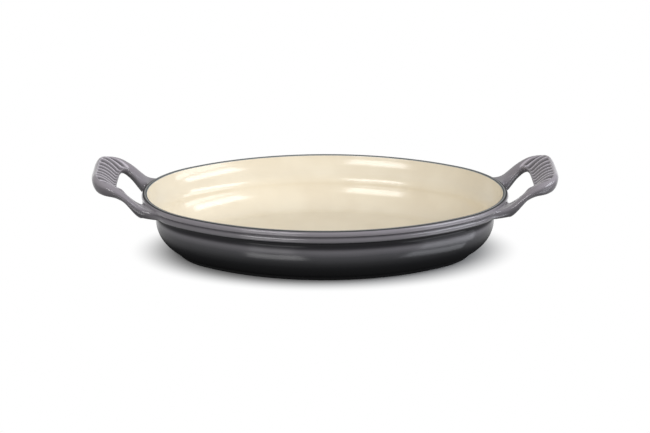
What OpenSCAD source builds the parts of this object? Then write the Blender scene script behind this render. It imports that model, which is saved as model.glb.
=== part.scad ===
// Oval baking dish in enamelled cast iron, cast as one piece with two loop handles.
// Millimetres. Z is up, X runs from handle to handle, the origin is the centre of the base.

/* [Dish] */
// Length of the dish over the lip, without the handles
dish_length = 280; // [266:1:310]
// Width of the dish over the lip
dish_width = 200; // [190:1:216]
// Radius of the two tighter arcs at the ends of the oval
end_radius = 80; // [74:0.5:84]
// Height from the table to the top of the lip
dish_height = 47; // [44:0.5:60]

/* [Lip] */
// Radius of each of the two rounded beads on the outside of the lip
bead_radius = 2.5; // [2.2:0.1:2.8]
// How far the lower bead stands back from the upper one
bead_setback = 0.5; // [0.3:0.1:1]
// How far the lip stands out from the wall
lip_overhang = 10.8; // [9.5:0.1:12]
// Height of the hollow curve from the lower bead to the wall
cove_height = 6.6; // [5:0.2:8]
// Width of the lip's top from its outside to the cavity
lip_width = 4.4; // [3.8:0.1:5.2]

/* [Wall and base] */
// How far the foot stands in from the lip
foot_inset = 27; // [26:0.5:30]
// Height of the foot below the curve of the wall
foot_height = 3.4; // [2.6:0.2:4]
// Width of the ring that the dish stands on
foot_width = 7; // [5:0.5:10]
// Depth of the hollow under the base, inside the ring
base_hollow = 2.2; // [1:0.2:2.6]
// Thickness of the floor
floor_thickness = 5.8; // [4.8:0.1:7]
// Thickness of the wall below the lip
wall_thickness = 4; // [3.4:0.1:5]

/* [Handles] */
// How far each handle reaches out from the lip
handle_reach = 36.4; // [34:0.2:42]
// Width of each handle over its legs
handle_width = 81; // [78:1:88]
// How far the finger gap reaches out from the lip
gap_reach = 17.7; // [16:0.1:19.5]
// Width of the finger gap where it meets the lip
gap_width_lip = 49; // [44:0.5:52]
// Width of the finger gap at its outer end
gap_width_end = 62.5; // [58:0.5:65]
// Height of the grip's corners above the lip
grip_rise = 20.6; // [16:0.2:24]
// How much lower the middle of the grip's outer border lies
grip_dip = 1.4; // [0.5:0.1:3]
// Height of the grip's top above the lip along the finger gap
grip_edge_rise = 11.4; // [10:0.2:13]
// Height of the grip's underside above the lip at its outer border
grip_under_rise = 6.8; // [6:0.2:9]
// Height of the grip's underside above the lip along the finger gap
grip_edge_under = 6.4; // [5:0.2:7]

/* [Rounding of the handles] */
// Rounding along the top of the legs
leg_round = 2.4; // [2:0.1:3.4]
// Rounding at the grip's two outer corners
corner_round = 7.5; // [6:0.1:8.4]
// Rounding along the middle of the grip's outer border
border_round = 3.8; // [3.2:0.1:4.8]

/* [Grip grooves] */
// Number of grooves across each grip
groove_count = 10; // [6:2:14]
// Angle between neighbouring grooves, which fan out from the centre of the end arc
groove_pitch = 3.83; // [3:0.05:3.9]
// Depth of the grooves
groove_depth = 1; // [0.4:0.1:1.2]
// How far the grooved panel lies below the border round it
panel_depth = 0.5; // [0.2:0.1:0.8]

/* [Hidden] */
enamel_grey = [0.47, 0.45, 0.47];
arc_steps = 15;

half_length = dish_length / 2;
half_width = dish_width / 2;
// The side arcs meet the end arcs with a common tangent
side_radius = (pow(half_length, 2) - 2 * half_length * end_radius + pow(half_width, 2))
    / (2 * (half_width - end_radius));
end_centre = half_length - end_radius;
side_centre = side_radius - half_width;
end_half_angle = atan2(side_centre, end_centre);

// Points of a circular arc about a centre
function arc(centre, radius, from, to, steps) =
    [for (i = [0:steps]) let (a = from + (to - from) * i / steps)
        centre + radius * [cos(a), sin(a)]];

// Points of a quadratic curve that leaves p0 and reaches p2 along the lines to p1
function bend(p0, p1, p2, steps) =
    [for (i = [0:steps]) let (t = i / steps)
        (1 - t) * (1 - t) * p0 + 2 * t * (1 - t) * p1 + t * t * p2];

// A section holds points [inset from the lip's outside, height]. This one is the outside
upper_bead = [bead_radius, dish_height - bead_radius];
lower_bead = upper_bead + [bead_setback, -1.94 * bead_radius];
bead_waist = acos(0.97);
cove_top = lower_bead - [0, bead_radius];
wall_top = [lip_overhang, cove_top[1] - cove_height];
cove_corner = [lip_overhang - 0.5, cove_top[1] - 0.8];
wall_foot = [foot_inset - 3.2, foot_height + 0.7];

outside_section = concat(
    bend([foot_inset + 1.2, 0], [foot_inset, 0], [foot_inset, 1.2], 2),
    bend([foot_inset, foot_height - 0.3], [foot_inset, foot_height + 0.2], wall_foot + [0.9, -0.2], 1),
    bend(wall_foot, [lip_overhang - 2.3, 14], wall_top, 8),
    bend(wall_top + [0, 1], cove_corner, cove_top + [0.4, -0.05], 4),
    arc(lower_bead, bead_radius, 255, 90 + bead_waist + 14, 4),
    arc(upper_bead, bead_radius, 270 - bead_waist, 90, 5));

// The hollow under the base and the ring that the dish stands on, from the middle outwards
ring_inset = foot_inset + foot_width;
base_section = [
    [ring_inset + 2.4, base_hollow],
    [ring_inset + 1, base_hollow - 0.4],
    [ring_inset - 0.7, 0]];

// The cavity: a flared mouth under the lip, a shoulder, and a wide curve into a flat floor
floor_top = base_hollow + floor_thickness;
shoulder = [lip_overhang + wall_thickness - 1, dish_height - 16.2];
mouth = [lip_width, dish_height - 0.8];
cavity_section = concat(
    arc([lip_width - 0.9, dish_height - 0.9], 0.9, 90, 10, 2),
    bend(mouth + [0.3, -1.2], [lip_width + 2.5, dish_height - 7.4], shoulder - [4.2, -4.6], 3),
    bend(shoulder - [3, -3.4], shoulder + [0.3, -0.4], shoulder + [1, -4], 3),
    bend(shoulder + [1.2, -6], [foot_inset - 6.6, floor_top + 1], [foot_inset + 6, floor_top], 6));

// The whole section, from the middle of the underside round the lip to the middle of the floor
body_section = concat(base_section, outside_section, cavity_section);

// The oval at one inset from the lip's outside: two end arcs and two side arcs, tangent where they meet
function oval(inset) =
    let (end = arc([end_centre, 0], end_radius - inset, -end_half_angle, end_half_angle, arc_steps),
        side = arc([0, -side_centre], side_radius - inset, end_half_angle, 180 - end_half_angle, arc_steps),
        half = [for (i = [0:2 * arc_steps - 1]) i < arc_steps ? end[i] : side[i - arc_steps]])
    concat(half, -half);

// The wall, foot, floor and lip: the section carried round the oval
module body() {
    rings = [for (p = body_section) [for (q = oval(p[0])) [q[0], q[1], p[1]]]];
    size = len(rings[0]);
    last = len(rings) - 1;
    sides = [for (i = [0:last - 1], j = [0:size - 1]) let (k = (j + 1) % size,
            a = i * size + j, b = i * size + k, c = (i + 1) * size + k, d = (i + 1) * size + j)
        each [[a, d, c], [a, c, b]]];
    underside = [[for (j = [0:size - 1]) j]];
    floor_face = [[for (j = [size - 1:-1:0]) last * size + j]];
    polyhedron([for (r = rings) each r], concat(sides, underside, floor_face));
}

// Outlines of the handle in plan, for the half with positive Y
grip_x = half_length - 1;
gap_half_lip = gap_width_lip / 2;
gap_taper = (gap_width_end / 2 - gap_half_lip) / (gap_reach + 1);
outer_squareness = 3.5;
gap_squareness = 4.1;

function squared(t, power) = pow(max(0, 1 - pow(min(1, abs(t)), power)), 1 / power);
function gap_x(y) = grip_x + (gap_reach + 1) * squared(2 * y / gap_width_end, gap_squareness);
function gap_y(x) = (gap_half_lip + gap_taper * (x - grip_x))
    * squared(max(0, x - grip_x) / (gap_reach + 1), gap_squareness);
function outer_x(y) = grip_x + (handle_reach + 1) * squared(2 * y / handle_width, outer_squareness);
function outer_y(x) = handle_width / 2 * squared(max(0, x - grip_x) / (handle_reach + 1), outer_squareness);

// Heights of the legs over the table: both curves start inside the lip and end under the grip
root_top_drop = 3.3;
root_bottom_drop = 9.3;
crest_lead = 6.5;
crest_run = handle_reach + 1.4;
crest_power = 1.5;
under_lead = 2.5;
under_run = gap_reach + 1.5;
under_power = 2.1;
function ease(t, power) = pow(sin(90 * min(1, max(0, t))), power);
function smooth(t) = let (s = min(1, max(0, t))) s * s * (3 - 2 * s);
function crest_z(x) = dish_height - root_top_drop
    + (grip_rise + root_top_drop) * ease((x - grip_x + crest_lead) / crest_run, crest_power);
function under_z(x) = dish_height - root_bottom_drop
    + (grip_under_rise + root_bottom_drop) * ease((x - grip_x + under_lead) / under_run, under_power);
// Along the finger gap a leg lies lower than at its outer side
gap_top_drop = 1.2;
gap_under_drop = 3.7;
// Where the outer side is widest, as a share of the handle's thickness
belly_share = 0.69;
// The grip's top falls away towards the finger gap, faster at the end
fall_power = 1.8;
// Distances from the lip over which a leg turns into the grip, and its corner grows round
palm_start = 8;
palm_run = 8;
corner_start = 4;
corner_run = 20;
// Half of the stretch of border that dips, as a share of the handle's width
dip_share = 0.4;
// Rounding of the underside and of the side towards the finger gap, on a leg and under the grip
leg_low_round = 3.5;
grip_low_round = 5;
leg_gap_round = 4.4;
grip_gap_round = 2.2;
// No rounding takes more than this share of a section's width
most_top = 0.6;
most_side = 0.4;
function mix(a, b, t) = a + (b - a) * t;

// Stations round half of a handle: each holds its point on the gap and on the outer edge
palm_steps = 4;
palm_half_grooves = groove_count / 2 - 1;
palm_angle = palm_half_grooves * groove_pitch;
function on_ray(angle, x) = (x - end_centre) * tan(angle);
function gap_on_ray(angle) =
    let (x1 = gap_x(on_ray(angle, half_length + gap_reach)), x2 = gap_x(on_ray(angle, x1)))
    [x2, on_ray(angle, x2)];
function outer_on_ray(angle) =
    let (x1 = outer_x(on_ray(angle, half_length + handle_reach)), x2 = outer_x(on_ray(angle, x1)),
        x3 = outer_x(on_ray(angle, (x1 + x2) / 2)))
    [x3, on_ray(angle, x3)];

palm_count = palm_steps * palm_half_grooves;
palm_stations = [for (i = [0:palm_count]) let (a = palm_angle * i / palm_count)
    [gap_on_ray(a), outer_on_ray(a)]];
corner_gap_x = palm_stations[palm_count][0][0];
corner_outer_x = palm_stations[palm_count][1][0];
corner_count = 12;
corner_ease = 0.65;
corner_stations = [for (i = [1:corner_count]) let (t = i / corner_count,
        xg = corner_gap_x + (grip_x - corner_gap_x) * t,
        xo = corner_outer_x + (grip_x - corner_outer_x) * t * (corner_ease + (1 - corner_ease) * t))
    [[xg, gap_y(xg)], [xo, outer_y(xo)]]];
// Each leg flares into the lip and ends inside it
root_radius = end_radius - 2.4;
root_gap_angle = 14.5;
root_outer_angle = 35.5;
gap_flare_x = grip_x - 2.6;
outer_flare_x = grip_x - 6;
function on_root(angle) = [end_centre, 0] + root_radius * [cos(angle), sin(angle)];
root_count = 4;
gap_root = bend([grip_x, gap_half_lip], [gap_flare_x, gap_y(gap_flare_x)],
    on_root(root_gap_angle), root_count);
outer_root = bend([grip_x, handle_width / 2], [outer_flare_x, handle_width / 2],
    on_root(root_outer_angle), root_count);
root_stations = [for (i = [1:root_count]) [gap_root[i], outer_root[i]]];
half_stations = concat(palm_stations, corner_stations, root_stations);

// The panel stops short of the border's crest and of the legs, and slopes up to both
border_gap = 0.3;
border_slope = 1.2;
panel_start = 10;
panel_slope = 4;

// Depth of the panel and its grooves at a point of the grip's top, reach inside the border
function groove(point, reach) =
    let (angle = atan2(point[1], point[0] - end_centre),
        side = min(1, max(0, groove_count / 2 * groove_pitch - angle)),
        border = min(1, max(0, (reach - border_gap) / border_slope)),
        root = min(1, max(0, (point[0] - half_length - panel_start) / panel_slope)))
    (panel_depth + groove_depth * (1 - cos(360 * angle / groove_pitch)) / 2) * side * border * root;

// Shares of the way from the finger gap to the border, close together at the panel's edge
top_places = [0, 0.15, 0.33, 0.51, 0.69, 0.84, 0.93, 1];
round_steps = 3;
gap_round_steps = 5;

// The closed section of the handle at one station, as points in space
function handle_section(station) =
    let (gap = station[0], outer = station[1],
        width = norm(outer - gap),
        along = (outer - gap) / width,
        palm = smooth((gap[0] - half_length - palm_start) / palm_run),
        corner = smooth((outer[0] - grip_x - corner_start) / corner_run),
        middle = max(0, 1 - pow(outer[1] / handle_width / dip_share, 2)),
        top_round = min(width * most_top, mix(leg_round, mix(corner_round, border_round, middle), corner)),
        low_round = min(width * most_side, mix(leg_low_round, grip_low_round, palm)),
        gap_round = min(width * most_side, mix(leg_gap_round, grip_gap_round, palm)),
        crest = crest_z(outer[0] - top_round * along[0]) - grip_dip * middle * palm,
        edge = mix(crest_z(gap[0]) - gap_top_drop, dish_height + grip_edge_rise, palm),
        under = under_z(outer[0] - low_round * along[0]),
        leg_edge_under = under_z(gap[0] + gap_round * along[0]) - gap_under_drop,
        edge_under = mix(leg_edge_under, dish_height + grip_edge_under, palm),
        belly = under + belly_share * (crest - under),
        top_width = width - top_round - gap_round,
        flat = [for (t = top_places) let (n = gap_round + top_width * t, reach = top_width * (1 - t))
            [n, mix(crest, edge, pow(1 - t, fall_power)) - groove(gap + along * n, reach)]],
        shoulder_round = [for (j = [1:round_steps]) let (a = 90 * j / round_steps)
            [width - top_round * (1 - sin(a)), belly + (crest - belly) * cos(a)]],
        lower_round = [for (j = [1:round_steps]) let (a = 90 * j / round_steps)
            [width - low_round * (1 - cos(a)), belly - (belly - under) * sin(a)]],
        underside = [[(width - low_round + gap_round) / 2, (under + edge_under) / 2]],
        gap_side = [for (j = [0:gap_round_steps - 1]) let (a = 180 * j / gap_round_steps)
            [gap_round * (1 - sin(a)), mix(edge_under, edge, (1 - cos(a)) / 2)
                - groove(gap, top_width) * pow(max(0, -cos(a)), 2)]])
    [for (p = concat(flat, shoulder_round, lower_round, underside, gap_side))
        [gap[0] + along[0] * p[0], gap[1] + along[1] * p[0], p[1]]];

// A handle is its half sections and their mirror images, joined ring to ring
module handle() {
    half = [for (s = half_stations) handle_section(s)];
    count = len(half);
    rings = concat(
        [for (i = [count - 1:-1:1]) [for (p = half[i]) [p[0], -p[1], p[2]]]],
        half);
    size = len(rings[0]);
    last = len(rings) - 1;
    sides = [for (i = [0:last - 1], j = [0:size - 1]) let (k = (j + 1) % size,
            a = i * size + j, b = i * size + k, c = (i + 1) * size + k, d = (i + 1) * size + j)
        each [[a, c, b], [a, d, c]]];
    ends = [for (j = [1:size - 2])
        each [[0, j, j + 1], [last * size, last * size + j + 1, last * size + j]]];
    polyhedron([for (r = rings) each r], concat(sides, ends));
}

module dish() {
    color(enamel_grey)
        union() {
            body();
            handle();
            mirror([1, 0, 0])
                handle();
        }
}

dish();
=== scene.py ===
import math

import bmesh
import bpy
from mathutils import Matrix, Vector


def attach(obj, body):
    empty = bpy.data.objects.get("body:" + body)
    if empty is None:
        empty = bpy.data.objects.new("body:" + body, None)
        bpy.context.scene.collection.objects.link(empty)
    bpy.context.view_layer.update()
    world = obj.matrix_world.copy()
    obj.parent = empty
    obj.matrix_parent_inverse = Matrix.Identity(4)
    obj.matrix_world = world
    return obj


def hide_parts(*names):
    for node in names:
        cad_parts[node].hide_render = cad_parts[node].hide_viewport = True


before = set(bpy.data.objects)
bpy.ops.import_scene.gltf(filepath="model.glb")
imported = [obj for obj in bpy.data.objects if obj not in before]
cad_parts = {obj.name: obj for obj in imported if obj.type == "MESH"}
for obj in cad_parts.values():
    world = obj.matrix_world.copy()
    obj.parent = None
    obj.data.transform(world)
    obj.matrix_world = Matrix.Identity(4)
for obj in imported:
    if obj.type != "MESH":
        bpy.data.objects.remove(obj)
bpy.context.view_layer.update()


# The body of the dish: wall, foot ring, floor and stepped lip of one iron casting.
# It is cast in sand with a thickness of about 4 mm, and its oval is four arcs that
# meet with common tangents. One quarter is carried round here, and mirrored later.
MM = 0.001
half_length = 140
half_width = 100
rim_height = 47
end_radius = 80
side_radius = (half_length**2 - 2 * half_length * end_radius + half_width**2) / (
    2 * (half_width - end_radius)
)
end_centre = half_length - end_radius
side_centre = side_radius - half_width
end_half_angle = math.atan2(side_centre, end_centre)


def arc(centre, radius, start, stop, steps):
    """Points of a circular arc in the section, with angles in degrees."""
    turns = [math.radians(start + (stop - start) * i / steps) for i in range(steps + 1)]
    return [
        (centre[0] + radius * math.cos(t), centre[1] + radius * math.sin(t)) for t in turns
    ]


def bend(first, corner, last, steps):
    """Points of a curve that leaves first and reaches last along the lines to corner."""
    points = []
    for i in range(steps + 1):
        t = i / steps
        points.append(
            tuple(
                (1 - t) ** 2 * a + 2 * t * (1 - t) * b + t * t * c
                for a, b, c in zip(first, corner, last)
            )
        )
    return points


bead_radius = 2.5
upper_bead = (2.5, 44.5)
lower_bead = (3.0, 39.65)
floor_top = 8.0
base_hollow = 2.2

# Each point of the section is its inset from the lip's outside and its height
underside = (
    [(38.5, base_hollow), (36.6, base_hollow)]
    + bend((35.6, base_hollow), (34.4, base_hollow), (34.0, 1.0), 2)
    + bend((33.8, 0.35), (33.6, 0), (32.8, 0), 1)
)
foot = bend((28.8, 0), (27, 0), (27, 1.5), 3) + bend((27, 2.7), (27, 3.6), (25.4, 3.8), 2)
wall = bend((23.8, 4.1), (8.5, 14), (10.8, 30.5), 9)
cove = bend((10.75, 31.6), (10.3, 36.4), (3.9, 37.05), 6)
under_lip = arc(lower_bead, bead_radius, 260, 118, 6)
waist_and_side = arc(upper_bead, bead_radius, 256, 180, 3)
lip_top = arc(upper_bead, bead_radius, 157.5, 90, 3)
lip_inside = arc((3.5, 46.1), 0.9, 90, 10, 2)
mouth = bend((4.7, 45.0), (6.5, 39.2), (9.6, 35.4), 6)
shoulder = bend((10.8, 34.2), (14.1, 30.4), (14.8, 26.8), 4)
bowl = bend((15.0, 24.8), (20.4, 9), (33, floor_top), 9) + [(35, floor_top), (40, floor_top)]

section = underside + foot + wall + cove
root_bottom_row = len(section)
section += under_lip + waist_and_side
root_top_row = len(section) - 1
section += lip_top
crown_row = len(section) - 1
section += lip_inside + mouth + shoulder + bowl

# How far each point lies from the lip's crown along the section: positive in the cavity
lip_distance = [0.0] * len(section)
for row in range(crown_row + 1, len(section)):
    lip_distance[row] = lip_distance[row - 1] + math.dist(section[row], section[row - 1])
for row in range(crown_row - 1, -1, -1):
    lip_distance[row] = lip_distance[row + 1] - math.dist(section[row], section[row + 1])


# Painted shade under the lip: in the groove between the beads and in the recess under the lower
# bead
waist_at, waist_reach, waist_shade = -7.3, 1.7, 0.5
hollow_start, hollow_rise = 10.2, 3.0
hollow_end, hollow_fall = 24.8, 2.8


def smooth(t):
    """Rises from 0 at t = 0 to 1 at t = 1, with level ends."""
    t = min(1.0, max(0.0, t))
    return t * t * (3 - 2 * t)


def painted_lip_shade(way):
    """Painted shade on the lip: dark in the groove between the beads and under the lip."""
    between_beads = waist_shade * max(0.0, 1 - ((way - waist_at) / waist_reach) ** 2)
    under_beads = smooth((-way - hollow_start) / hollow_rise)
    under_beads *= 1 - smooth((-way - hollow_end) / hollow_fall)
    return max(between_beads, under_beads)


casting = bmesh.new()
row_layer = casting.verts.layers.int.new("row")
lip_layer = casting.verts.layers.float.new("lip_distance")
# Painted shading for each point: painted shade where positive, painted highlight where negative
painted_shading_layer = casting.verts.layers.float.new("glaze")
previous = None
for row, (inset, height) in enumerate(section):
    point = casting.verts.new(((half_length - inset) * MM, 0, height * MM))
    point[row_layer] = row
    point[lip_layer] = lip_distance[row]
    point[painted_shading_layer] = painted_lip_shade(lip_distance[row])
    if previous is not None:
        casting.edges.new((previous, point))
    previous = point

# One quarter of the oval: round the end arc, then on round the side arc
end_columns = 30
side_columns = 12
swept = bmesh.ops.spin(
    casting,
    geom=casting.verts[:] + casting.edges[:],
    cent=(end_centre * MM, 0, 0),
    axis=(0, 0, 1),
    angle=end_half_angle,
    steps=end_columns,
    use_duplicate=False,
)
bmesh.ops.spin(
    casting,
    geom=swept["geom_last"],
    cent=(0, -side_centre * MM, 0),
    axis=(0, 0, 1),
    angle=math.pi / 2 - end_half_angle,
    steps=side_columns,
    use_duplicate=False,
)


# The loop handles, part of the same casting. Each has two legs that flare out of the
# lip's two beads, and a wide raised grip with grooves that fan out from the end arc's
# centre. Half a handle is drawn out ring by ring from an opening cut in the lip.
grip_x = half_length - 1
gap_reach, gap_half_lip, gap_half_end = 18.7, 24.5, 31.25
outer_reach, outer_half = 37.4, 41.3
gap_squareness, outer_squareness = 4.1, 3.6
gap_taper = (gap_half_end - gap_half_lip) / gap_reach


def squared(t, power):
    """Falls from 1 at t = 0 to 0 at t = 1 as a rounded square's quarter does."""
    return max(0.0, 1 - min(1.0, abs(t)) ** power) ** (1 / power)


def gap_x(y):
    return grip_x + gap_reach * squared(y / gap_half_end, gap_squareness)


def gap_y(x):
    way = max(0.0, x - grip_x)
    return (gap_half_lip + gap_taper * (x - grip_x)) * squared(way / gap_reach, gap_squareness)


def outer_x(y):
    return grip_x + outer_reach * squared(y / outer_half, outer_squareness)


def outer_y(x):
    return outer_half * squared(max(0.0, x - grip_x) / outer_reach, outer_squareness)


def ease(t, power):
    """Rises from 0 at t = 0 to 1 at t = 1, and levels out at the top."""
    return math.sin(math.pi / 2 * min(1.0, max(0.0, t))) ** power


# Heights of the legs: both curves start inside the lip and end at the grip
leg_top = rim_height - 3.3
leg_bottom = rim_height - 9.3
grip_top = rim_height + 21.4
grip_under = rim_height + 6.8
grip_edge_top = rim_height + 11.4
grip_edge_under = rim_height + 6.4
crest_lead, crest_run, crest_power = 6.5, 37.8, 1.5
under_lead, under_run, under_power = 2.5, 19.2, 2.1


def mix(first, second, t):
    return first + (second - first) * t


def crest_height(x):
    return mix(leg_top, grip_top, ease((x - grip_x + crest_lead) / crest_run, crest_power))


def under_height(x):
    return mix(leg_bottom, grip_under, ease((x - grip_x + under_lead) / under_run, under_power))


# The grip's border dips in its middle and falls at its corners, where the panel's edge lifts
grip_dip, dip_half_width = 2.1, 32.4
corner_lift, corner_drop = 0.8, 1.6
corner_drop_x, corner_drop_x_run = 20, 10
corner_drop_y, corner_drop_y_run = 22, 12
gap_top_drop, gap_under_drop = 1.2, 3.7
palm_start, palm_run = 8, 8
corner_start, corner_run = 4, 20
belly_share = 0.69

# Roundings at the root, the leg, the grip, and the corner and the middle of the grip
root_crest_inset, corner_crest_inset = 2.4, 7.5
root_top_round, corner_top_round, middle_round = 3.0, 4.4, 3.8
leg_low_round, grip_low_round = 3.5, 5.0
leg_gap_round, grip_gap_round = 4.4, 2.2
corner_border, middle_border = 2.6, 3.4
corner_fall_power, middle_fall_power = 1.4, 1.8
grip_crowding = 1.6
widest_crest, widest_round = 0.6, 0.4

# The recessed panel of the grip and its grooves, with the angle between two grooves
groove_pitch = 3.83
groove_depth = 1.1
panel_depth = 0.7
panel_half_width, panel_side_fade = 34.0, 1.6
panel_start, panel_start_fade = 11, 4
panel_border_fade = 0.9

# Painted shade in the grooves, down the handle's outer side and below it, and painted highlight
# over the ridges and along the panel's brink
groove_shade, ridge_highlight, ridge_power = 0.6, 1.0, 2.5
brink_highlight = 0.5
side_shade, under_shade = 0.5, 0.75


def ray_points(angle):
    """Where a ray from the end arc's centre crosses the finger gap and the outer edge."""
    slope = math.tan(math.radians(angle))
    gap_at, outer_at = grip_x + gap_reach, grip_x + outer_reach
    for _ in range(4):
        gap_at = gap_x((gap_at - end_centre) * slope)
        outer_at = (outer_at + outer_x((outer_at - end_centre) * slope)) / 2
    return (gap_at, (gap_at - end_centre) * slope), (outer_at, (outer_at - end_centre) * slope)


# Each station of the loop is a pair of points: one on the finger gap, one on the outer edge
palm_steps = 32
palm_angle = 4 * groove_pitch
stations = [ray_points(palm_angle * i / palm_steps) for i in range(palm_steps + 1)]

corner_steps = 30
gap_pace, outer_pace = 0.8, 0.65
corner_gap_x = stations[-1][0][0]
corner_outer_x = stations[-1][1][0]
for i in range(1, corner_steps + 1):
    t = i / corner_steps
    gap_at = mix(corner_gap_x, grip_x, mix(t * t, t, gap_pace))
    outer_at = mix(corner_outer_x, grip_x, mix(t * t, t, outer_pace))
    stations.append(((gap_at, gap_y(gap_at)), (outer_at, outer_y(outer_at))))

column_angle = math.degrees(end_half_angle) / end_columns
root_first, root_last = 8, 20
root_steps = 8
lip_clearance = 0.3


def on_lip(column):
    turn = math.radians(column * column_angle)
    radius = end_radius + lip_clearance
    return (end_centre + radius * math.cos(turn), radius * math.sin(turn))


gap_end = (grip_x, gap_y(grip_x))
gap_corner = (grip_x - 1.0, gap_end[1] - 0.6)
gap_root = bend(gap_end, gap_corner, on_lip(root_first), root_steps)
outer_end = (grip_x, outer_half)
outer_corner = (grip_x - 6, outer_half)
outer_root = bend(outer_end, outer_corner, on_lip(root_last), root_steps)
stations += list(zip(gap_root[1:], outer_root[1:]))

top_edges = root_last - root_first
side_edges = root_top_row - root_bottom_row


def groove(x, y, reach):
    """Depth of the recessed panel and its grooves, and the painted shading: shade where positive,
    highlight where negative.
    """
    angle = math.degrees(math.atan2(y, x - end_centre))
    side = smooth((panel_half_width - y) / panel_side_fade)
    border = smooth(reach / panel_border_fade)
    leg = smooth((x - half_length - panel_start) / panel_start_fade)
    hollow = abs(math.sin(math.pi * angle / groove_pitch))
    share = side * border * leg
    brink = 4 * share * (1 - share)
    # Painted shade in the grooves, painted highlight on the ridges, and a painted highlight line
    # along the panel's brink
    glaze = (groove_shade * hollow - ridge_highlight * (1 - hollow) ** ridge_power) * share
    return (panel_depth + groove_depth * hollow) * share, glaze - brink_highlight * brink


def handle_ring(gap, outer):
    """One ring of the handle: along the top, down the outside, back below, up the gap."""
    width = math.dist(gap, outer)
    along = ((outer[0] - gap[0]) / width, (outer[1] - gap[1]) / width)
    palm = smooth((gap[0] - half_length - palm_start) / palm_run)
    corner = smooth((outer[0] - grip_x - corner_start) / corner_run)
    middle = max(0.0, 1 - (outer[1] / dip_half_width) ** 2)
    crest_inset = mix(root_crest_inset, mix(corner_crest_inset, middle_round, middle), corner)
    crest_inset = min(width * widest_crest, crest_inset)
    top_round = mix(root_top_round, mix(corner_top_round, middle_round, middle), corner)
    top_round = min(width * widest_crest, top_round)
    low_round = min(width * widest_round, mix(leg_low_round, grip_low_round, palm))
    gap_round = min(width * widest_round, mix(leg_gap_round, grip_gap_round, palm))
    crest = crest_height(outer[0] - crest_inset * along[0]) - grip_dip * middle * palm
    fall = smooth((outer[0] - grip_x - corner_drop_x) / corner_drop_x_run)
    fall *= smooth((outer[1] - corner_drop_y) / corner_drop_y_run)
    crest -= corner_drop * fall
    edge = mix(crest_height(gap[0]) - gap_top_drop, grip_edge_top, palm)
    edge += corner_lift * palm * (1 - middle)
    under = under_height(outer[0] - low_round * along[0])
    leg_edge_under = under_height(gap[0] + gap_round * along[0]) - gap_under_drop
    edge_under = mix(leg_edge_under, grip_edge_under, palm)
    belly = mix(under, crest, belly_share)
    round_start = width - top_round
    top_width = round_start - gap_round
    border_start = width - mix(top_round, mix(corner_border, middle_border, middle), palm)
    fall_power = mix(corner_fall_power, middle_fall_power, middle)
    crowding = mix(1.0, grip_crowding, palm)
    ring = []
    for j in range(top_edges + 1):
        reach = (border_start - gap_round) * (1 - j / top_edges) ** crowding
        n = border_start - reach
        depth, glaze = groove(gap[0] + along[0] * n, gap[1] + along[1] * n, reach)
        if n <= round_start:
            height = mix(crest, edge, ((round_start - n) / top_width) ** fall_power)
        else:
            height = mix(belly, crest, math.sqrt(1 - ((n - round_start) / top_round) ** 2))
        ring.append((n, height - depth, glaze))
    border_turn = math.asin(max(0.0, border_start - round_start) / top_round)
    # Down the outer side and along the underside the painted shade deepens
    for j in range(1, side_edges + 1):
        way = 2 * j / side_edges
        if way <= 1:
            turn = mix(border_turn, math.pi / 2, way)
            n = round_start + top_round * math.sin(turn)
            ring.append((n, mix(belly, crest, math.cos(turn)), side_shade * way * way))
        else:
            turn = math.pi / 2 * way
            n = width - low_round * (1 - math.sin(turn))
            glaze = mix(side_shade, under_shade, way - 1)
            ring.append((n, mix(belly, under, -math.cos(turn)), glaze))
    for j in range(1, top_edges + 1):
        t = j / top_edges
        ring.append((mix(width - low_round, gap_round, t), mix(under, edge_under, t), under_shade))
    # Up the gap side the painted shade fades, and the groove's painted shading carries over its
    # top
    depth, glaze = groove(gap[0], gap[1], top_width)
    for j in range(1, side_edges):
        turn = math.pi * j / side_edges
        upper = max(0.0, -math.cos(turn)) ** 2
        height = mix(edge_under, edge, 0.5 - 0.5 * math.cos(turn))
        gap_side_shade = mix(under_shade, 0.0, smooth(j / side_edges)) + glaze * upper
        ring.append((gap_round * (1 - math.sin(turn)), height - depth * upper, gap_side_shade))
    return [
        (Vector((gap[0] + along[0] * n, gap[1] + along[1] * n, z)) * MM, glaze)
        for n, z, glaze in ring
    ]


def column_of(point):
    turn = math.degrees(math.atan2(point.co.y, point.co.x - end_centre * MM))
    return round(turn / column_angle)


lip_points = {}
for point in casting.verts:
    if root_bottom_row <= point[row_layer] <= root_top_row:
        column = column_of(point)
        if root_first <= column <= root_last:
            lip_points[column, point[row_layer]] = point
opening = [
    face
    for face in casting.faces
    if all(
        (column_of(p), p[row_layer]) in lip_points and lip_points[column_of(p), p[row_layer]] is p
        for p in face.verts
    )
]
bmesh.ops.delete(casting, geom=opening, context="FACES")

columns = range(root_first, root_last + 1)
rows = range(root_bottom_row + 1, root_top_row)
loop_keys = [(c, root_top_row) for c in columns]
loop_keys += [(root_last, r) for r in reversed(rows)]
loop_keys += [(c, root_bottom_row) for c in reversed(columns)]
loop_keys += [(root_first, r) for r in rows]
root_loop = [lip_points[key] for key in loop_keys]
root_places = [point.co.copy() for point in root_loop]
root_painted_shading = [point[painted_shading_layer] for point in root_loop]
outside_lip, no_row = -20, -1

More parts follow.
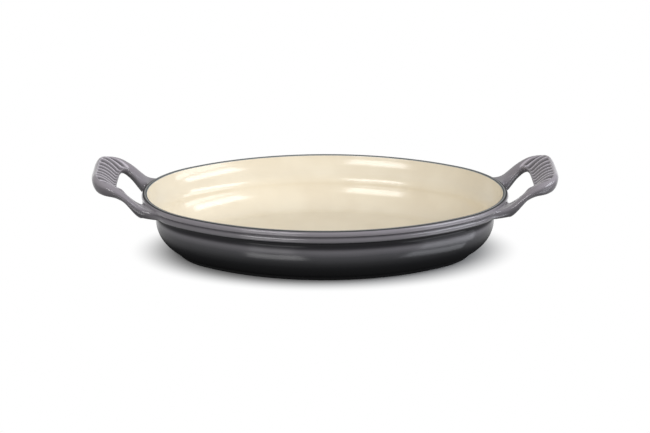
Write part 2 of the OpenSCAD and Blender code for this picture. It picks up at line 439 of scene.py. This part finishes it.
# The loop grows from the opening to the middle of the grip
ring = root_loop
last_station = len(stations) - 1
for index in range(last_station - 1, -1, -1):
    share = smooth((index - last_station + root_steps) / root_steps)
    places = [
        (place.lerp(root, share), mix(glaze, painted_light, share))
        for (place, glaze), root, painted_light in zip(
            handle_ring(*stations[index]), root_places, root_painted_shading
        )
    ]
    edges = [casting.edges.get((a, b)) for a, b in zip(ring, ring[1:] + ring[:1])]
    grown = bmesh.ops.extrude_edge_only(casting, edges=edges)["geom"]
    fresh = {item for item in grown if isinstance(item, bmesh.types.BMVert)}
    next_ring = []
    for point, (place, glaze) in zip(ring, places):
        copy = next(e.other_vert(point) for e in point.link_edges if e.other_vert(point) in fresh)
        copy.co = place
        copy[painted_shading_layer] = glaze
        copy[lip_layer] = outside_lip
        copy[row_layer] = no_row
        next_ring.append(copy)
    ring = next_ring

# The root of each leg is faired into the beads, as the pattern's fillets are
fairing = ((5.0, 3), (4.0, 3), (3.0, 4), (2.0, 4))
fairing_top, fairing_from_x = 44.6, 110
for reach, passes in fairing:
    near = [
        point
        for point in casting.verts
        if point.co.z < fairing_top * MM
        and point.co.x > fairing_from_x * MM
        and not point.is_boundary
        and min((point.co - place).length for place in root_places) < reach * MM
    ]
    for _ in range(passes):
        bmesh.ops.smooth_vert(
            casting, verts=near, factor=0.5, use_axis_x=True, use_axis_y=True, use_axis_z=True
        )

for axis in ("Y", "X"):
    bmesh.ops.mirror(
        casting,
        geom=casting.verts[:] + casting.edges[:] + casting.faces[:],
        matrix=Matrix.Identity(4),
        merge_dist=0.02 * MM,
        axis=axis,
    )
rims = [edge for edge in casting.edges if edge.is_boundary]
bmesh.ops.edgeloop_fill(casting, edges=rims)
bmesh.ops.recalc_face_normals(casting, faces=casting.faces)
for face in casting.faces:
    face.smooth = True

dish_mesh = bpy.data.meshes.new("baking_dish")
casting.to_mesh(dish_mesh)
casting.free()
dish = bpy.data.objects.new("baking_dish", dish_mesh)
bpy.context.scene.collection.objects.link(dish)
rounding = dish.modifiers.new("rounding", "SUBSURF")
rounding.levels = rounding.render_levels = 1


# The enamel: a glass coat fired on the iron. It is cream inside, and outside a warm grey
# that fades to near black at the base. A dark line of bare slip shows along the lip.
class Shade:
    """A value in the shader. Python's operators on it add Math nodes."""

    def __init__(self, tree, socket=None):
        self.tree = tree
        self.socket = socket

    def node(self, kind, settings=None, inputs=None, outlet=0):
        made = self.tree.nodes.new(kind)
        for name, value in (settings or {}).items():
            if name == "stops":
                ramp = made.color_ramp
                while len(ramp.elements) < len(value):
                    ramp.elements.new(0.5)
                for element, (place, color) in zip(ramp.elements, value):
                    element.position = place
                    element.color = (*color, 1)
            else:
                setattr(made, name, value)
        for name, value in (inputs or {}).items():
            if isinstance(value, Shade):
                self.tree.links.new(value.socket, made.inputs[name])
            else:
                made.inputs[name].default_value = value
        return Shade(self.tree, made.outputs[outlet]) if made.outputs else made

    def math(self, operation, *values):
        return self.node(
            "ShaderNodeMath", {"operation": operation}, {i: v for i, v in enumerate(values)}
        )

    def __add__(self, other):
        return self.math("ADD", self, other)

    __radd__ = __add__

    def __sub__(self, other):
        return self.math("SUBTRACT", self, other)

    def __rsub__(self, other):
        return self.math("SUBTRACT", other, self)

    def __mul__(self, other):
        return self.math("MULTIPLY", self, other)

    __rmul__ = __mul__

    def __truediv__(self, other):
        return self.math("DIVIDE", self, other)

    def between(self, low, high):
        """Rises smoothly from 0 at low to 1 at high."""
        return self.node(
            "ShaderNodeMapRange",
            {"interpolation_type": "SMOOTHSTEP"},
            {"Value": self, "From Min": low, "From Max": high, "To Min": 0, "To Max": 1},
        )

    def blend(self, first, second):
        """The colour first where this value is 0, and second where it is 1."""
        return self.node(
            "ShaderNodeMix", {"data_type": "RGBA"}, {0: self, 6: first, 7: second}, outlet=2
        )


enamel = bpy.data.materials.new("fired_enamel")
enamel.use_nodes = True
enamel.node_tree.nodes.clear()
paint = Shade(enamel.node_tree)
place = paint.node("ShaderNodeTexCoord", outlet=3)
height = paint.node("ShaderNodeSeparateXYZ", inputs={"Vector": place}, outlet=2)
way = paint.node("ShaderNodeAttribute", {"attribute_name": "lip_distance"}, outlet=2)


def speckle(scale, detail):
    return paint.node(
        "ShaderNodeTexNoise", inputs={"Vector": place, "Scale": scale, "Detail": detail}
    )


fine = speckle(1400, 3.0)
cloud = speckle(38, 2.0)
enamel_top = 0.066
grey = paint.node(
    "ShaderNodeValToRGB",
    {
        "stops": [
            (0.0, (0.018, 0.018, 0.0187)),
            (0.15, (0.0165, 0.0165, 0.0172)),
            (0.27, (0.019, 0.019, 0.0207)),
            (0.36, (0.042, 0.041, 0.046)),
            (0.44, (0.125, 0.118, 0.131)),
            (0.60, (0.115, 0.107, 0.118)),
            (0.70, (0.205, 0.188, 0.206)),
            (0.85, (0.240, 0.218, 0.238)),
            (1.0, (0.262, 0.238, 0.260)),
        ]
    },
    {"Fac": height / enamel_top + (cloud - 0.5) * 0.03},
)
# Painted shade and painted highlight outside: near black where shade is painted, between the
# beads, under the lip, in the grooves and under the handles, and pale grey where a highlight is
# painted, on the ridges and along the panel's brink
painted_light = paint.node("ShaderNodeAttribute", {"attribute_name": "glaze"}, outlet=2)
painted_shade = painted_light.between(0.0, 1.0)
painted_highlight = (0 - painted_light).between(0.0, 0.5)
highlight_grey = (0.5, 0.46, 0.5, 1)
shade_black = (0.018, 0.017, 0.02, 1)
outside = painted_shade.blend(painted_highlight.blend(grey, highlight_grey), shade_black)
warm_cream = (0.75, 0.665, 0.515, 1)
light_cream = (0.785, 0.705, 0.555, 1)
cream = cloud.between(0.3, 0.7).blend(warm_cream, light_cream)

# Across the lip's crown, from outside to inside: a dark line, a lighter band on the crown that is
# a painted highlight, dark again, then a pale bluish line at the cavity's edge, all broken up by
# fine specks
crown_start, crown_width = -2.0, 4.2
rim = paint.node(
    "ShaderNodeValToRGB",
    {
        "stops": [
            (0.0, (0.10, 0.10, 0.105)),
            (0.15, (0.03, 0.03, 0.031)),
            (0.35, (0.055, 0.058, 0.055)),
            (0.5, (0.30, 0.30, 0.295)),
            (0.65, (0.20, 0.20, 0.196)),
            (0.78, (0.045, 0.047, 0.047)),
            (0.9, (0.25, 0.285, 0.295)),
            (1.0, (0.5, 0.47, 0.4)),
        ]
    },
    {"Fac": (way - crown_start) / crown_width + (fine - 0.5) * 0.12},
)

inside = way.between(1.95, 2.3)
dark_rim = way.between(-1.9, -1.3)
color = inside.blend(dark_rim.blend(outside, rim), cream)

orange_peel = paint.node(
    "ShaderNodeBump",
    inputs={"Strength": 0.03, "Distance": 0.0004, "Height": speckle(170, 1.0)},
)

# The coat is thick inside. Outside it is cut back towards the base and where shade is painted, as
# painted shade on the reflections there, and it thins out on the rim
outer_gloss = height.between(0.012, 0.034) * (1 - 0.8 * painted_shade) * (1 - 0.85 * dark_rim)
gloss = inside * 0.85 + (1 - inside) * outer_gloss
glassy = paint.node(
    "ShaderNodeBsdfPrincipled",
    inputs={
        "Base Color": color,
        "Roughness": 0.5 + 0.1 * cloud,
        "Specular IOR Level": 0.0,
        "Coat Weight": 0.02 + 0.95 * gloss,
        "Coat Roughness": 0.15,
        "Normal": orange_peel,
    },
)
paint.node("ShaderNodeOutputMaterial", inputs={"Surface": glassy})
dish.data.materials.append(enamel)

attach(dish, "root")
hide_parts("dish")


# The floor: one plain pale sheet. Away from the dish it is white to the camera, and in what
# the enamel reflects it is pale, with a soft image of the lamps. Close to the foot it keeps
# the dish's shadow.
floor_mesh = bpy.data.meshes.new("floor")
sheet = bmesh.new()
bmesh.ops.create_grid(sheet, x_segments=1, y_segments=1, size=3)
sheet.to_mesh(floor_mesh)
sheet.free()
floor = bpy.data.objects.new("floor", floor_mesh)
bpy.context.scene.collection.objects.link(floor)
floor_paint = bpy.data.materials.new("white_floor")
floor_paint.use_nodes = True
floor_paint.node_tree.nodes.clear()
ground = Shade(floor_paint.node_tree)


def seen(shade):
    """1 for the rays that show a background: to the camera, in gloss and through glass."""
    rays = [shade.node("ShaderNodeLightPath", outlet=outlet) for outlet in (0, 3, 6)]
    return shade.math("MAXIMUM", shade.math("MAXIMUM", rays[0], rays[1]), rays[2])


foot_reach = (0.113, 0.073, 1)
spot = ground.node("ShaderNodeTexCoord", outlet=3)
foot_share = ground.node(
    "ShaderNodeVectorMath", {"operation": "DIVIDE"}, {0: spot, 1: foot_reach}
)
foot_way = ground.node(
    "ShaderNodeVectorMath", {"operation": "LENGTH"}, {0: foot_share}, outlet=1
)
clear = foot_way.between(0.96, 1.34)
matt = ground.node("ShaderNodeBsdfDiffuse", inputs={"Color": (0.4, 0.4, 0.4, 1)})
white = ground.node("ShaderNodeEmission", inputs={"Color": (1, 1, 1, 1), "Strength": 1.0})
pale = ground.node("ShaderNodeEmission", inputs={"Color": (1, 1, 1, 1), "Strength": 0.7})
polish = ground.node(
    "ShaderNodeBsdfGlossy", inputs={"Color": (0.5, 0.5, 0.5, 1), "Roughness": 0.12}
)
polished = ground.node("ShaderNodeAddShader", inputs={0: pale, 1: polish})
in_gloss = ground.node("ShaderNodeLightPath", outlet=3)
bright = ground.node("ShaderNodeMixShader", inputs={0: in_gloss, 1: white, 2: polished})
surface = ground.node("ShaderNodeMixShader", inputs={0: seen(ground) * clear, 1: matt, 2: bright})
ground.node("ShaderNodeOutputMaterial", inputs={"Surface": surface})
floor.data.materials.append(floor_paint)


# Plain studio light: a pale room, two soft boxes in front of the dish, one at each side,
# and a weaker one below each of them, which the wall shows by way of the floor.
room = bpy.data.worlds.new("pale_room")
room.use_nodes = True
room.node_tree.nodes.clear()
sky = Shade(room.node_tree)
glow = sky.node("ShaderNodeBackground", inputs={"Color": (1, 1, 1, 1), "Strength": 0.37})
backdrop = sky.node("ShaderNodeBackground", inputs={"Color": (1, 1, 1, 1), "Strength": 1.0})
air = sky.node("ShaderNodeMixShader", inputs={0: seen(sky), 1: glow, 2: backdrop})
sky.node("ShaderNodeOutputWorld", inputs={"Surface": air})
bpy.context.scene.world = room

lamp_distance = 1.5


def soft_box(name, azimuth, elevation, size, strength, tint):
    """A lamp that faces the dish, with its directions in degrees and its radiance."""
    turn, tilt = math.radians(azimuth), math.radians(elevation)
    at = Vector(
        (math.sin(turn) * math.cos(tilt), math.cos(turn) * math.cos(tilt), math.sin(tilt))
    )
    light = bpy.data.lights.new(name, "AREA")
    light.shape = "RECTANGLE"
    light.size, light.size_y = size
    light.energy = strength * math.pi * size[0] * size[1]
    light.color = tint
    lamp = bpy.data.objects.new(name, light)
    lamp.location = at * lamp_distance
    lamp.rotation_euler = (-at).to_track_quat("-Z", "Y").to_euler()
    bpy.context.scene.collection.objects.link(lamp)


neutral, cool = (1, 1, 1), (0.95, 0.98, 1.04)
soft_box("soft_box_left", -152, 32, (0.72, 0.40), 9.3, neutral)
soft_box("soft_box_right", 112, 35, (0.92, 0.37), 9.0, cool)
soft_box("low_box_left", -152, 14, (0.6, 0.24), 3.5, neutral)
soft_box("low_box_right", 106, 18, (1.2, 0.3), 6, cool)


# The camera looks along +Y and a little down, as the photograph does. The dish stands
# turned by a hair in the photograph, so the camera stands a little to the left instead.
photo_width, photo_height = 650, 433
aim_x, aim_y = 325.05, 190.5
pixels_per_mm = 1.31
look_down = math.radians(17.5)
turned = math.radians(0.6)
distance = 1.7
target = Vector((0, 0, 0.047))
back = Vector(
    (
        -math.sin(turned) * math.cos(look_down),
        -math.cos(turned) * math.cos(look_down),
        math.sin(look_down),
    )
)
lens = bpy.data.cameras.new("camera")
lens.sensor_width = 36
lens.lens = pixels_per_mm * distance / MM * lens.sensor_width / photo_width
lens.clip_start = 0.05
lens.clip_end = 20
lens.shift_x = (photo_width / 2 - aim_x) / photo_width
lens.shift_y = -(photo_height / 2 - aim_y) / photo_width
camera = bpy.data.objects.new("camera", lens)
camera.location = target + back * distance
camera.rotation_mode = "QUATERNION"
camera.rotation_quaternion = (-back).to_track_quat("-Z", "Y")
bpy.context.scene.collection.objects.link(camera)
bpy.context.scene.camera = camera
bpy.context.scene.view_settings.view_transform = "Standard"
